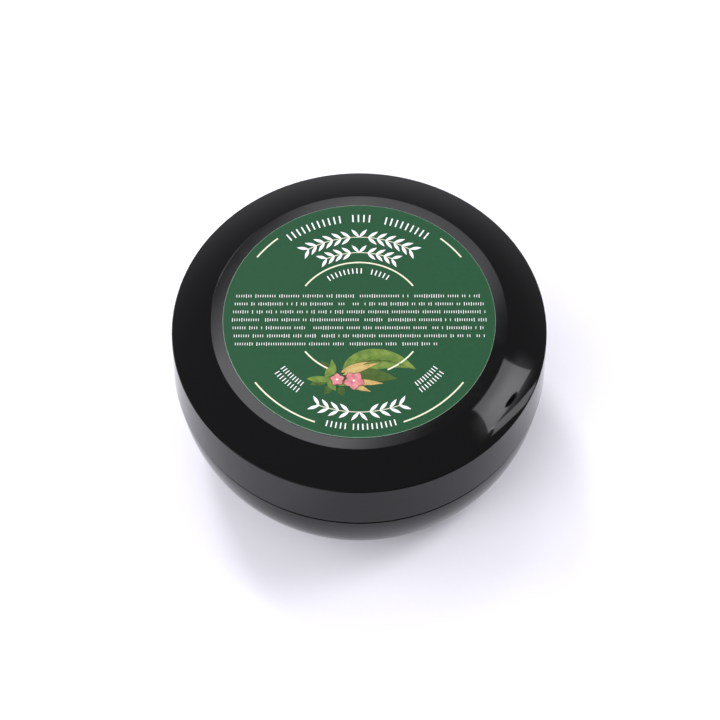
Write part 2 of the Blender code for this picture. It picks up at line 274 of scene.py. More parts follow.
def printed_film():
    """Printed and laminated film: an even satin green with a pale knife-cut edge."""
    made, tree, shader = finish("label_film_green_satin", IOR=1.5, Specular_IOR_Level=0.12)
    here = place(tree)
    flat = place(tree, (1, 1, 0))
    fibre = add(tree, "ShaderNodeTexNoise", {"Vector": here, "Scale": per(0.7), "Detail": 5.0})
    slow = add(tree, "ShaderNodeTexNoise", {"Vector": here, "Scale": per(22), "Detail": 1.0})
    ink = add(tree, "ShaderNodeMix", {0: slow, 6: srgb("#1c492c"), 7: srgb("#1f4f31")}, data_type="RGBA")
    mottled = add(tree, "ShaderNodeMix", {0: fibre, 6: ink, 7: srgb("#1a432a")}, data_type="RGBA")
    reach = add(tree, "ShaderNodeVectorMath", [flat], operation="LENGTH")
    cut = add(tree, "ShaderNodeMath", [reach, (label_radius - LABEL_EDGE) * MM], operation="GREATER_THAN")
    colour = add(tree, "ShaderNodeMix", {0: cut, 6: mottled, 7: srgb("#7f9a86")}, data_type="RGBA")
    rough = add(tree, "ShaderNodeMapRange", {"Value": fibre, "To Min": 0.42, "To Max": 0.55})
    bump = add(tree, "ShaderNodeBump", {"Strength": 0.12, "Distance": 0.00003, "Height": fibre})
    feed(tree, shader, {"Base Color": colour, "Roughness": rough, "Normal": bump})
    return made


def soft_ink(name, code, deeper, size_mm, roughness=0.5):
    """A matt ink whose tone drifts between two colours over this many millimetres."""
    made, tree, shader = finish(name, IOR=1.5, Specular_IOR_Level=0.12)
    drifting = add(tree, "ShaderNodeTexNoise", {"Vector": place(tree), "Scale": per(size_mm), "Detail": 4.0})
    share = add(tree, "ShaderNodeMapRange", {"Value": drifting, "From Min": 0.3, "From Max": 0.7})
    drift(tree, shader, share, code, deeper, drifting, roughness - 0.06, roughness + 0.06)
    return made


label_green = printed_film()
ink_cream = soft_ink("ink_cream", "#d9d9c2", "#cfd0b6", 3)
ink_leaf = soft_ink("ink_leaf", "#75893f", "#4c6a2a", 1.6)
ink_leaf_dark = soft_ink("ink_leaf_dark", "#4a6128", "#344b20", 1.5)
ink_bud = soft_ink("ink_bud", "#bda86c", "#a3824c", 1.2)
ink_umber = soft_ink("ink_umber", "#4b4520", "#3a3a1c", 1.2)
ink_blossom = soft_ink("ink_blossom", "#cc8b8a", "#b05a68", 1.0)
paper_white = soft_ink("label_paper_white", "#e9e9e4", "#e0e0da", 1.5, 0.62)
ink_grey = soft_ink("ink_grey", "#4c4c4e", "#5a5a5c", 2)

# %% [markdown]
# ## Turned shells
# A lid, a base and a cup are round, so each is one outline turned about the screw axis. The outline
# runs from the axis over the outside and back to the axis on the inside, which closes the solid. A
# third number at a corner rounds it. Next to each rounding a holding point keeps the flat beside it
# flat, because a mirror finish would show any bend in the shading.

# %% Outlines with rounded corners
ROUND_STEPS = 7
TURN_STEPS = 288
INNER_TURN_STEPS = 192
HOLD = 0.15


def fillet(before, corner, after, radius):
    """Points of a round corner tangent to both sides, with a holding point beyond each end."""
    corner = Vector(corner)
    back = (Vector(before) - corner).normalized()
    onward = (Vector(after) - corner).normalized()
    half = back.angle(onward) / 2
    reach = radius / tan(half)
    centre = corner + (back + onward).normalized() * radius / sin(half)
    first = (corner + back * reach - centre).normalized()
    last = (corner + onward * reach - centre).normalized()
    arc = [centre + first.slerp(last, i / ROUND_STEPS) * radius for i in range(ROUND_STEPS + 1)]
    hold = min(radius, HOLD)
    return [corner + back * (reach + hold), *arc, corner + onward * (reach + hold)]


def outline(corners):
    """A profile from (radius, height) corners; a third number rounds that corner."""
    points = []
    for i, corner in enumerate(corners):
        if len(corner) == 2:
            points.append(Vector(corner))
        else:
            points += fillet(corners[i - 1][:2], corner[:2], corners[i + 1][:2], corner[2])
    return points


def steps_between(start, end, count):
    """Evenly spaced values from start to end, both included."""
    return [start + (end - start) * i / count for i in range(count + 1)]


def tuck(outer, inner, high, low, count):
    """A quarter ellipse from an upright wall at the top to a level floor at the bottom."""
    return [
        (inner + (outer - inner) * cos(a), high - (high - low) * sin(a))
        for a in steps_between(0, pi / 2, count)
    ]


# %% Turning an outline into a piece
def piece(name, mesh, coat, crisp=40):
    """An object in the scene with one material, smooth except at edges sharper than crisp degrees."""
    if coat:
        mesh.materials.append(coat)
    mesh.shade_smooth()
    mesh.set_sharp_from_angle(angle=radians(crisp))
    made = bpy.data.objects.new(name, mesh)
    bpy.context.scene.collection.objects.link(made)
    return made


def settled(name, build):
    """The plain mesh of a bmesh, which is then let go."""
    mesh = bpy.data.meshes.new(name)
    build.to_mesh(mesh)
    build.free()
    return mesh


def lathe(profile, middle=(0, 0), count=TURN_STEPS):
    """A closed bmesh, in metres, turned from a profile in millimetres about an upright axis."""
    build = bmesh.new()
    x, y = (value * MM for value in middle)
    verts = [build.verts.new((x + r * MM, y, z * MM)) for r, z in profile]
    edges = [build.edges.new(pair) for pair in zip(verts, verts[1:])]
    bmesh.ops.spin(
        build, geom=verts + edges, axis=(0, 0, 1), cent=(x, y, 0), angle=2 * pi, steps=count,
        use_merge=True,
    )
    bmesh.ops.remove_doubles(build, verts=build.verts, dist=1e-7)
    bmesh.ops.recalc_face_normals(build, faces=build.faces)
    return build


def turned(name, profile, coat, count=TURN_STEPS):
    mesh = settled(name, lathe(profile, count=count))
    print(f"{name}: {len(mesh.polygons)} faces from an outline of {len(profile)} points")
    return piece(name, mesh, coat)


def join_model(made, body, slot, *nodes):
    """Makes a finished piece part of the moving model."""
    if nodes:
        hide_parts(*nodes)
    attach(made, body)
    return made


# %% [markdown]
# ## The lid
# Outside, the lid is a flat plateau, a shoulder that falls in one shallow arc to the rim, and a skirt
# that leans out by half a millimetre so that it leaves its mould. Inside, the wall follows the same
# arc one wall thickness below, down to the ledge and bead that hold the liner.

# %% Lid shell
RIM_RADIUS = 40.0
PLATEAU_RADIUS = 31.6
SHOULDER_DROP = 3.13
SHOULDER_BULGE = radians(5.5)
WALL = 1.9
LIP_WALL = 1.85
LEDGE = 0.6
FLANGE = 1.3
CLEARANCE = 0.3
SNAP = 0.4
SNAP_BAND = 0.8
SNAP_FROM_LEDGE = 1.5
INNER_CORNER = 1.0
PLATEAU_EDGE = 0.22
RIM_EDGE = 0.24
LOWER_EDGE = 0.3
SEAM_EDGE = 0.1
BREAK = 0.2

shoulder_slope = atan2(SHOULDER_DROP, RIM_RADIUS - PLATEAU_RADIUS)
shoulder_arc = hypot(SHOULDER_DROP, RIM_RADIUS - PLATEAU_RADIUS) / 2 / sin(SHOULDER_BULGE)
first_slope = shoulder_slope - SHOULDER_BULGE
last_slope = shoulder_slope + SHOULDER_BULGE
arc_r = PLATEAU_RADIUS - shoulder_arc * sin(first_slope)
arc_z = plateau - shoulder_arc * cos(first_slope)


def shoulder(depth, count):
    """The shoulder's arc from plateau to rim, this deep under the surface."""
    radius = shoulder_arc - depth
    return [
        (arc_r + radius * sin(a), arc_z + radius * cos(a))
        for a in steps_between(first_slope, last_slope, count)
    ]


def snap_bead(wall, height, centre):
    """A rounded bead on an upright wall, read upwards; a negative height stands inwards."""
    return [
        (wall + height * sin(a) ** 2, centre + SNAP_BAND / 2 * (2 * a / pi - 1))
        for a in steps_between(0, pi, 8)
    ]


pocket = lid_radius - LIP_WALL
lid_wall = pocket - LEDGE
ledge = liner_bottom + FLANGE + CLEARANCE
outer = shoulder(0, 24)
inner = [point for point in shoulder(WALL, 12) if point[0] < lid_wall - INNER_CORNER]
lid_profile = outline([
    (0, plateau),
    (*outer[0], PLATEAU_EDGE),
    *outer[1:-1],
    (*outer[-1], RIM_EDGE),
    (lid_radius, lid_bottom, SEAM_EDGE),
    (pocket, lid_bottom, BREAK),
    (pocket, ledge),
    (lid_wall, ledge),
    *snap_bead(lid_wall, -SNAP, ledge + SNAP_FROM_LEDGE),
    (lid_wall, inner[-1][1] - INNER_CORNER),
    *reversed(inner),
    (0, plateau - WALL),
])
join_model(turned("lid_outer", lid_profile, gloss_black), "lid", "gloss_black", "lid_shell")

# %% [markdown]
# ## The base
# The base tucks in below the seam in a quarter ellipse and stands on a narrow flat ring. Between the
# two shells a half-millimetre line stays open all round, and a small rebate under it in the base makes
# it read as a thin black shadow.

# %% Base shell
FOOT_RADIUS = 28.6
FOOT_WIDTH = 2.4
FOOT_DEPTH = 0.9
COLLAR_LENGTH = 4.0
REBATE = 0.55

base_pocket = base_radius - LIP_WALL
base_wall = base_pocket - LEDGE
base_ledge = seam - FLANGE - CLEARANCE
ring_radius = FOOT_RADIUS - FOOT_WIDTH
base_profile = outline([
    (0, FOOT_DEPTH + WALL),
    *reversed(tuck(base_wall, FOOT_RADIUS - WALL, base_ledge - COLLAR_LENGTH, FOOT_DEPTH + WALL, 24)),
    *snap_bead(base_wall, -SNAP, base_ledge - SNAP_FROM_LEDGE),
    (base_wall, base_ledge),
    (base_pocket, base_ledge),
    (base_pocket, seam, BREAK),
    (base_radius - REBATE, seam),
    (base_radius - REBATE, seam - REBATE),
    (base_radius, seam - REBATE, SEAM_EDGE),
    *tuck(base_radius, FOOT_RADIUS, seam - REBATE, foot, 40)[1:-1],
    (FOOT_RADIUS, foot),
    (ring_radius, foot, 0.25),
    (ring_radius - BREAK, FOOT_DEPTH, BREAK),
    (0, FOOT_DEPTH),
])
join_model(turned("base_outer", base_profile, gloss_black), "base", "gloss_black", "base_shell")

# %% [markdown]
# ## The cup and the liner
# A second moulding snaps into each shell. The cup holds the soap and carries the neck; the liner
# screws down over it. Both have a flange that closes the gap between the two walls and a collar with
# a bead that clicks past the bead of the shell.

# %% Cup
CUP_WALL = 1.4
CUP_DRAFT = 0.5
CUP_CORNER = 3.0
NECK_RADIUS = 32.4
COLLAR_WALL = 1.1

mouth_radius = NECK_RADIUS - CUP_WALL
cup_floor = cup_underside + CUP_WALL
cup_floor_radius = mouth_radius - CUP_DRAFT
base_collar = base_wall - SNAP - CLEARANCE
flange_low = seam - FLANGE
cup_bead = flange_low - CLEARANCE - SNAP_FROM_LEDGE - SNAP_BAND - CLEARANCE
cup_profile = outline([
    (0, cup_floor),
    (cup_floor_radius, cup_floor, CUP_CORNER),
    (mouth_radius, mouth, LOWER_EDGE),
    (NECK_RADIUS, mouth, LOWER_EDGE),
    (NECK_RADIUS, seam, BREAK),
    (neck_flange, seam, BREAK),
    (neck_flange, flange_low),
    (base_collar, flange_low),
    *reversed(snap_bead(base_collar, SNAP, cup_bead)),
    (base_collar, flange_low - COLLAR_LENGTH),
    (base_collar - COLLAR_WALL, flange_low - COLLAR_LENGTH),
    (base_collar - COLLAR_WALL, flange_low),
    (NECK_RADIUS, flange_low),
    (cup_floor_radius + CUP_WALL, cup_underside, CUP_CORNER + CUP_WALL),
    (0, cup_underside),
])
join_model(turned("cup", cup_profile, cup_black, INNER_TURN_STEPS), "base", "cup_black", "inner_cup")

# %% Liner
LINER_WALL = 1.3
LINER_SHOULDER = 2.1
LINER_POCKET = 0.9
COLLAR_GAP = 0.9
THREAD_ENTRY = 0.4

lid_collar = lid_wall - SNAP - CLEARANCE
liner_radius = lid_collar - COLLAR_WALL - COLLAR_GAP
liner_bore = liner_radius - LINER_WALL
ceiling = liner_top - LINER_WALL
flange_top = liner_bottom + FLANGE
liner_bead = flange_top + CLEARANCE + SNAP_FROM_LEDGE + SNAP_BAND + CLEARANCE
liner_profile = outline([
    (0, liner_top),
    (liner_radius - LINER_SHOULDER, liner_top),
    (liner_radius, liner_top - LINER_SHOULDER),
    (liner_radius, flange_top),
    (lid_collar - COLLAR_WALL, flange_top),
    (lid_collar - COLLAR_WALL, flange_top + COLLAR_LENGTH),
    (lid_collar, flange_top + COLLAR_LENGTH),
    *reversed(snap_bead(lid_collar, SNAP, liner_bead)),
    (lid_collar, flange_top),
    (liner_flange, flange_top),
    (liner_flange, liner_bottom, BREAK),
    (liner_bore + THREAD_ENTRY, liner_bottom),
    (liner_bore, liner_bottom + THREAD_ENTRY),
    (liner_bore, ceiling - LINER_POCKET),
    (liner_bore - LINER_POCKET, ceiling),
    (0, ceiling),
])
join_model(turned("liner", liner_profile, liner_black, INNER_TURN_STEPS), "lid", "liner_black", "lid_liner")

# %% [markdown]
# ## Screw threads
# A thread is a bead that follows a helix, so Geometry Nodes sweep one rounded section along a spiral
# curve and repeat it once for each start. The section shrinks to nothing at both ends, as a mould's
# thread has to. Inputs hold the wall, the lead and the rise, and the same tree makes the thread on
# the neck and, with a negative height, the one inside the liner.

# %% A tree that makes a plain mesh
def new_tree(name, **numbers):
    """An empty Geometry Nodes tree with float inputs of these names and a geometry output."""
    tree = bpy.data.node_groups.new(name, "GeometryNodeTree")
    for label, value in numbers.items():
        kind = "NodeSocketInt" if isinstance(value, int) else "NodeSocketFloat"
        socket = tree.interface.new_socket(label.replace("_", " "), in_out="INPUT", socket_type=kind)
        socket.default_value = value
    tree.interface.new_socket("Geometry", in_out="OUTPUT", socket_type="NodeSocketGeometry")
    return tree, tree.nodes.new("NodeGroupInput").outputs


def close_tree(tree, geometry, coat):
    """Ends a tree drawn in millimetres: metres, real geometry and one material."""
    metres = add(tree, "GeometryNodeTransform", {"Geometry": geometry, "Scale": (MM, MM, MM)})
    real = add(tree, "GeometryNodeRealizeInstances", [metres])
    coated = add(tree, "GeometryNodeSetMaterial", {"Geometry": real, "Material": coat})
    add(tree, "NodeGroupOutput", [coated])
    return tree


def grown(name, tree, **values):
    """The plain mesh that a tree makes with these input values."""
    grower = bpy.data.objects.new(name + "_grower", bpy.data.meshes.new(name + "_grower"))
    bpy.context.scene.collection.objects.link(grower)
    modifier = grower.modifiers.new("grow", "NODES")
    modifier.node_group = tree
    for item in tree.interface.items_tree:
        label = item.name.replace(" ", "_")
        if item.in_out == "INPUT" and label in values:
            modifier[item.identifier] = values[label]
    evaluated = grower.evaluated_get(bpy.context.evaluated_depsgraph_get())
    mesh = bpy.data.meshes.new_from_object(evaluated)
    bpy.data.objects.remove(grower)
    mesh.name = name
    print(f"{name}: {len(mesh.polygons)} faces")
    return mesh


# %% The thread tree
LEAD = 8.0
THREAD_STARTS = 2
THREAD_DEPTH = 1.2
THREAD_ROOT = 1.9
THREAD_CREST = 1.0
THREAD_FADE = 0.06
THREAD_BURIED = 0.4
THREAD_TIP = 0.04
THREAD_ROUND = 0.3


def thread_tree(name, coat, height):
    """A helical bead rooted in a wall; a negative height stands inwards."""
    tree, given = new_tree(name, Wall=1.0, Low=0.0, Rise=1.0, Start=0.0)
    turns = add(tree, "ShaderNodeMath", [given["Rise"], LEAD], operation="DIVIDE")
    spiral = add(tree, "GeometryNodeCurveSpiral", {
        "Resolution": 160, "Rotations": turns, "Start Radius": given["Wall"],
        "End Radius": given["Wall"], "Height": given["Rise"],
    })
    upright = add(tree, "GeometryNodeSetCurveNormal", [spiral], mode="Z_UP")
    along = add(tree, "GeometryNodeSplineParameter")
    rising = add(tree, "ShaderNodeMapRange", {
        "Value": along, "From Max": THREAD_FADE, "To Min": THREAD_TIP,
    }, interpolation_type="SMOOTHSTEP")
    falling = add(tree, "ShaderNodeMapRange", {
        "Value": along, "From Min": 1 - THREAD_FADE, "From Max": 1.0, "To Min": 1.0,
        "To Max": THREAD_TIP,
    }, interpolation_type="SMOOTHSTEP")
    size = add(tree, "ShaderNodeMath", [rising, falling], operation="MULTIPLY")
    root = -THREAD_BURIED if height > 0 else THREAD_BURIED
    section = add(tree, "GeometryNodeCurvePrimitiveQuadrilateral", {
        "Point 1": (root, -THREAD_ROOT / 2, 0), "Point 2": (height, -THREAD_CREST / 2, 0),
        "Point 3": (height, THREAD_CREST / 2, 0), "Point 4": (root, THREAD_ROOT / 2, 0),
    }, mode="POINTS")
    rounded = add(tree, "GeometryNodeFilletCurve", {
        "Curve": section, "Count": 4, "Radius": THREAD_ROUND,
    }, mode="POLY")
    swept = add(tree, "GeometryNodeCurveToMesh", {
        "Curve": upright, "Profile Curve": rounded, "Scale": size, "Fill Caps": True,
    })
    starts = add(tree, "GeometryNodePoints", {"Count": THREAD_STARTS})
    which = add(tree, "GeometryNodeInputIndex")
    apart = 2 * pi / THREAD_STARTS
    turn = add(tree, "ShaderNodeMath", [which, apart, given["Start"]], operation="MULTIPLY_ADD")
    about = add(tree, "ShaderNodeCombineXYZ", {"Z": turn})
    lifted = add(tree, "ShaderNodeCombineXYZ", {"Z": given["Low"]})
    copies = add(tree, "GeometryNodeInstanceOnPoints", {"Points": starts, "Instance": swept})
    spun = add(tree, "GeometryNodeRotateInstances", {0: copies, "Rotation": about})
    moved = add(tree, "GeometryNodeTransform", {"Geometry": spun, "Translation": lifted})
    return close_tree(tree, moved, coat)


# %% Threads on the neck and in the liner
THREAD_MARGIN = 1.7
half_pitch = LEAD / THREAD_STARTS / 2
neck_low = seam + THREAD_MARGIN + THREAD_ROOT / 2
neck_high = mouth - THREAD_MARGIN - THREAD_ROOT / 2
nut_low = max(neck_low - half_pitch, liner_bottom + 2 * THREAD_ENTRY + THREAD_ROOT / 2)
nut_high = neck_high - half_pitch
nut_start = 2 * pi * (nut_low - neck_low + half_pitch) / LEAD

neck_tree = thread_tree("neck_thread_tree", cup_black, THREAD_DEPTH)
neck_mesh = grown("neck_thread", neck_tree, Wall=NECK_RADIUS, Low=neck_low, Rise=neck_high - neck_low)
join_model(piece("neck_thread", neck_mesh, None), "base", "cup_black")
nut_tree = thread_tree("liner_thread_tree", liner_black, -THREAD_DEPTH)
nut_mesh = grown(
    "liner_thread", nut_tree, Wall=liner_bore, Low=nut_low, Rise=nut_high - nut_low, Start=nut_start,
)
join_model(piece("liner_thread", nut_mesh, None), "lid", "liner_black")

# %% [markdown]
# ## What the jar holds
# The cake of soap is pressed, so its top has a shallow groove near the edge and a slight dish. The
# foam wad shows the ring that the neck has pressed into it. The cover disc is film with a rolled edge
# and a round tab, folded flat, that a fingernail lifts.

# %% Soap
SOAP_EDGE = 1.5
GROOVE_AT = 0.8
GROOVE_DEPTH = 0.55
GROOVE_WIDTH = 1.3
DISH = 0.35
FACE_SHARE = 0.94
FACE_STEPS = 60
soap_face = [
    (
        soap_radius * share,
        soap_top - DISH * (1 - share ** 2)
        - GROOVE_DEPTH * max(0.0, 1 - (abs(share - GROOVE_AT) * soap_radius / GROOVE_WIDTH) ** 2),
    )
    for share in steps_between(0, FACE_SHARE, FACE_STEPS)
]
soap_profile = soap_face + outline([
    (soap_radius * (FACE_SHARE + 0.005), soap_top),
    (soap_radius, soap_top, SOAP_EDGE),
    (soap_radius, soap_bottom, CUP_CORNER),
    (0, soap_bottom),
])[1:]
join_model(turned("soap_cake", soap_profile, soap_ivory, INNER_TURN_STEPS), "base", "soap", "soap_puck")

# %% Foam wad
PRESSED = 0.12
WAD_EDGE = 0.25
wad_profile = outline([
    (0, wad_top),
    (wad_radius, wad_top, WAD_EDGE),
    (wad_radius, wad_bottom, WAD_EDGE),
    (NECK_RADIUS + 0.1, wad_bottom),
    (NECK_RADIUS - 0.1, wad_bottom + PRESSED),
    (mouth_radius + 0.1, wad_bottom + PRESSED),
    (mouth_radius - 0.2, wad_bottom),
    (0, wad_bottom),
])
join_model(turned("foam_wad", wad_profile, foam_white, INNER_TURN_STEPS), "wad", "foam", "lid_wad")

# %% Cover disc with its folded tab
DISC_THICKNESS = 0.7
DISC_RIM = 2.0
DISC_DISH = 0.25
DISC_SLOPE = 0.6
DISC_ROUND = 0.3
TAB_RADIUS = 7.0
TAB_THICKNESS = 0.6
TAB_PAD = 4.6
TAB_DISH = 0.2
TAB_SLOPE = 0.5
TAB_ROUND = 0.25
HINGE_AT = 2.0
HINGE_WIDTH = 1.2
HINGE_BITE = 0.6
HINGE_ROUND = 0.2

disc_top = disc_bottom + DISC_THICKNESS
tab_low = tab_top - TAB_THICKNESS
disc = lathe(outline([
    (0, disc_top - DISC_DISH),
    (disc_radius - DISC_RIM - DISC_SLOPE, disc_top - DISC_DISH),
    (disc_radius - DISC_RIM, disc_top, DISC_ROUND),
    (disc_radius, disc_top, DISC_ROUND),
    (disc_radius, disc_bottom, DISC_ROUND),
    (0, disc_bottom),
]), count=INNER_TURN_STEPS)
tab = lathe(outline([
    (0, tab_top - TAB_DISH),
    (TAB_PAD, tab_top - TAB_DISH),
    (TAB_PAD + TAB_SLOPE, tab_top, TAB_DISH),
    (TAB_RADIUS, tab_top, TAB_ROUND),
    (TAB_RADIUS, tab_low, TAB_ROUND),
    (0, tab_low),
]), (TAB_RADIUS, 0), 72)
hinge = bmesh.new()
bmesh.ops.create_cube(hinge, size=1)
hinge_size = Vector((HINGE_WIDTH, TAB_RADIUS, tab_low - disc_top + HINGE_BITE)) * MM
bmesh.ops.scale(hinge, vec=hinge_size, verts=hinge.verts)
bmesh.ops.translate(
    hinge, vec=Vector((HINGE_AT, 0, (disc_top + tab_low) / 2)) * MM, verts=hinge.verts,
)
bmesh.ops.bevel(
    hinge, geom=hinge.edges, offset=HINGE_ROUND * MM, segments=3, affect="EDGES", clamp_overlap=True,
)
for part in (tab, hinge):
    loose = settled("loose", part)
    disc.from_mesh(loose)
    bpy.data.meshes.remove(loose)
cover = piece("cover_disc", settled("cover_disc", disc), film_clear)
join_model(cover, "disc", "clear_film", "sealing_disc")

# %% [markdown]
# ## The labels
# The lid's label is a thin round film laid on the plateau. Its marks are generic: thin rules on two
# circles, rows of upright ticks where a label has small type, and garlands of small leaves where it
# has large type, so nothing can be read. Geometry Nodes lay each row along its arc or line.

# %% Label films
INK = 0.02
LABEL_ROUND = 0.04
GLUE = 0.01
film_top = label_top - INK
top_film = turned("lid_label_film", outline([
    (0, film_top),
    (label_radius, film_top, LABEL_ROUND),
    (label_radius, plateau + GLUE),
    (0, plateau + GLUE),
]), label_green)
join_model(top_film, "lid", "lid_label", "lid_label")
paper = turned("base_label_paper", outline([
    (0, paper_top),
    (paper_radius, paper_top),
    (paper_radius, paper_bottom + INK, LABEL_ROUND),
    (0, paper_bottom + INK),
]), paper_white, 144)
join_model(paper, "base", "base_label", "base_label")


# %% Trees for a rule, a row of marks and a block of ticks
LEAF_FAN = 40
LEAF_TIP = 0.12


def ink_strip(tree, path, width, scale=1.0):
    """A flat strip of ink along a level curve."""
    upright = add(tree, "GeometryNodeSetCurveNormal", [path], mode="Z_UP")
    section = add(tree, "GeometryNodeCurvePrimitiveQuadrilateral", {"Width": width, "Height": INK})
    return add(tree, "GeometryNodeCurveToMesh", {
        "Curve": upright, "Profile Curve": section, "Scale": scale, "Fill Caps": True,
    })


def rule_tree(name, coat):
    """A thin flat rule along an arc, with its angles in degrees."""
    tree, given = new_tree(name, Radius=10.0, Start=0.0, Sweep=90.0, Width=0.3, Height=0.0)
    turn = add(tree, "ShaderNodeMath", [given["Start"], radians(1)], operation="MULTIPLY")
    sweep = add(tree, "ShaderNodeMath", [given["Sweep"], radians(1)], operation="MULTIPLY")
    arc = add(tree, "GeometryNodeCurveArc", {
        "Resolution": 48, "Radius": given["Radius"], "Start Angle": turn, "Sweep Angle": sweep,
    })
    level = add(tree, "ShaderNodeCombineXYZ", {"Z": given["Height"]})
    raised = add(tree, "GeometryNodeTransform", {
        "Geometry": ink_strip(tree, arc, given["Width"]), "Translation": level,
    })
    return close_tree(tree, raised, coat)


def leaf_pair(tree, tall, wide):
    """Two flat leaves of ink that fan out from the origin on either side of X."""
    tip = add(tree, "ShaderNodeCombineXYZ", {"X": tall})
    spine = add(tree, "GeometryNodeCurvePrimitiveLine", {"End": tip})
    fine = add(tree, "GeometryNodeResampleCurve", {"Curve": spine, "Count": 9})
    along = add(tree, "GeometryNodeSplineParameter")
    arch = add(tree, "ShaderNodeMath", [along, pi], operation="MULTIPLY")
    swell = add(tree, "ShaderNodeMath", [arch], operation="SINE")
    width = add(tree, "ShaderNodeMath", [swell, LEAF_TIP], operation="MAXIMUM")
    leaf = ink_strip(tree, fine, wide, width)
    pair = add(tree, "GeometryNodeJoinGeometry")
    for fan in (-LEAF_FAN, LEAF_FAN):
        turned_leaf = add(tree, "GeometryNodeTransform", {
            "Geometry": leaf, "Rotation": (0, 0, radians(fan)),
        })
        feed(tree, pair, [turned_leaf])
    return pair


def mark_row_tree(name, coat, leaves):
    """Marks spaced along an arc: bars along the radius, or leaf pairs that point away from the middle."""
    tree, given = new_tree(
        name, Count=6, Radius=10.0, Middle=90.0, Step=5.0, Tall=2.0, Stroke=0.3, Height=0.0,
    )
    if leaves:
        mark = leaf_pair(tree, given["Tall"], given["Stroke"])
    else:
        size = add(tree, "ShaderNodeCombineXYZ", {"X": given["Tall"], "Y": given["Stroke"], "Z": INK})
        mark = add(tree, "GeometryNodeMeshCube", {"Size": size})
    which = add(tree, "GeometryNodeInputIndex")
    last = add(tree, "ShaderNodeMath", [given["Count"], 1.0], operation="SUBTRACT")
    centre = add(tree, "ShaderNodeMath", [last, 0.5], operation="MULTIPLY")
    off = add(tree, "ShaderNodeMath", [centre, which], operation="SUBTRACT")
    angle = add(tree, "ShaderNodeMath", [off, given["Step"], given["Middle"]], operation="MULTIPLY_ADD")
    turn = add(tree, "ShaderNodeMath", [angle, radians(1)], operation="MULTIPLY")
    x = add(tree, "ShaderNodeMath", [turn], operation="COSINE")
    y = add(tree, "ShaderNodeMath", [turn], operation="SINE")
    towards = add(tree, "ShaderNodeCombineXYZ", {"X": x, "Y": y})
    out = add(tree, "ShaderNodeVectorMath", {0: towards, "Scale": given["Radius"]}, operation="SCALE")
    level = add(tree, "ShaderNodeCombineXYZ", {"Z": given["Height"]})
    spot = add(tree, "ShaderNodeVectorMath", {0: out, 1: level}, operation="ADD")
    side = add(tree, "ShaderNodeMath", [off], operation="SIGN")
    heading = add(tree, "ShaderNodeMath", [side, pi / 2 if leaves else 0.0, turn], operation="MULTIPLY_ADD")
    about = add(tree, "ShaderNodeCombineXYZ", {"Z": heading})
    points = add(tree, "GeometryNodePoints", {"Count": given["Count"], "Position": spot})
    copies = add(tree, "GeometryNodeInstanceOnPoints", {
        "Points": points, "Instance": mark, "Rotation": about,
    })
    return close_tree(tree, copies, coat)


# %% A block of ticks in place of small type
def tick_block_tree(name, coat):
    """Lines of upright ticks, broken at random into words, with a few taller ones."""
    tree, given = new_tree(
        name, Columns=60, Wide=52.0, Middle=0.0, Across=0.0, Tall=0.95, Stroke=0.34, Height=0.0, Seed=1,
    )
    grid = add(tree, "GeometryNodePoints", {"Count": given["Columns"]})
    which = add(tree, "GeometryNodeInputIndex")
    last = add(tree, "ShaderNodeMath", [given["Columns"], 1.0], operation="SUBTRACT")
    share = add(tree, "ShaderNodeMath", [which, last], operation="DIVIDE")
    off = add(tree, "ShaderNodeMath", [share, 0.5], operation="SUBTRACT")
    x = add(tree, "ShaderNodeMath", [off, given["Wide"], given["Middle"]], operation="MULTIPLY_ADD")
    spot = add(tree, "ShaderNodeCombineXYZ", {"X": x, "Y": given["Across"], "Z": given["Height"]})
    set_out = add(tree, "GeometryNodeSetPosition", {0: grid, "Position": spot})
    gap = add(tree, "FunctionNodeRandomValue", {
        "Probability": 0.16, "Seed": given["Seed"],
    }, data_type="BOOLEAN")
    words = add(tree, "GeometryNodeDeleteGeometry", {0: set_out, 1: gap})
    tall = add(tree, "FunctionNodeRandomValue", {
        "Probability": 0.22, "Seed": given["Seed"],
    }, data_type="BOOLEAN")
    rise = add(tree, "ShaderNodeMapRange", {"Value": tall, "To Min": 1.0, "To Max": 1.4})
    size = add(tree, "ShaderNodeCombineXYZ", {"X": given["Stroke"], "Y": given["Tall"], "Z": INK})
    tick = add(tree, "GeometryNodeMeshCube", {"Size": size})
    stretch = add(tree, "ShaderNodeCombineXYZ", {"X": 1.0, "Y": rise, "Z": 1.0})
    copies = add(tree, "GeometryNodeInstanceOnPoints", {
        "Points": words, "Instance": tick, "Scale": stretch,
    })
    return close_tree(tree, copies, coat)


# %% Print the lid's label
RULE = 0.34
ink_level = label_top - INK / 2
rules = rule_tree("rule_tree", ink_cream)
leaves = mark_row_tree("leaf_row_tree", ink_cream, True)
bars = mark_row_tree("bar_row_tree", ink_cream, False)
ticks = tick_block_tree("tick_block_tree", ink_cream)


def print_rows(name, tree, keys, rows, **shared):
    """One mesh from a tree for each row of values."""
    return [
        grown(f"{name}_{i}", tree, **dict(zip(keys, row)), **shared) for i, row in enumerate(rows)
    ]


def gather(name, meshes, body, slot):
    """One piece from several meshes that share their material."""
    build = bmesh.new()
    for mesh in meshes:
        build.from_mesh(mesh)
    coat = meshes[0].materials[0]
    bmesh.ops.recalc_face_normals(build, faces=build.faces)
    for mesh in meshes:
        bpy.data.meshes.remove(mesh)
    return join_model(piece(name, settled(name, build), coat), body, slot)


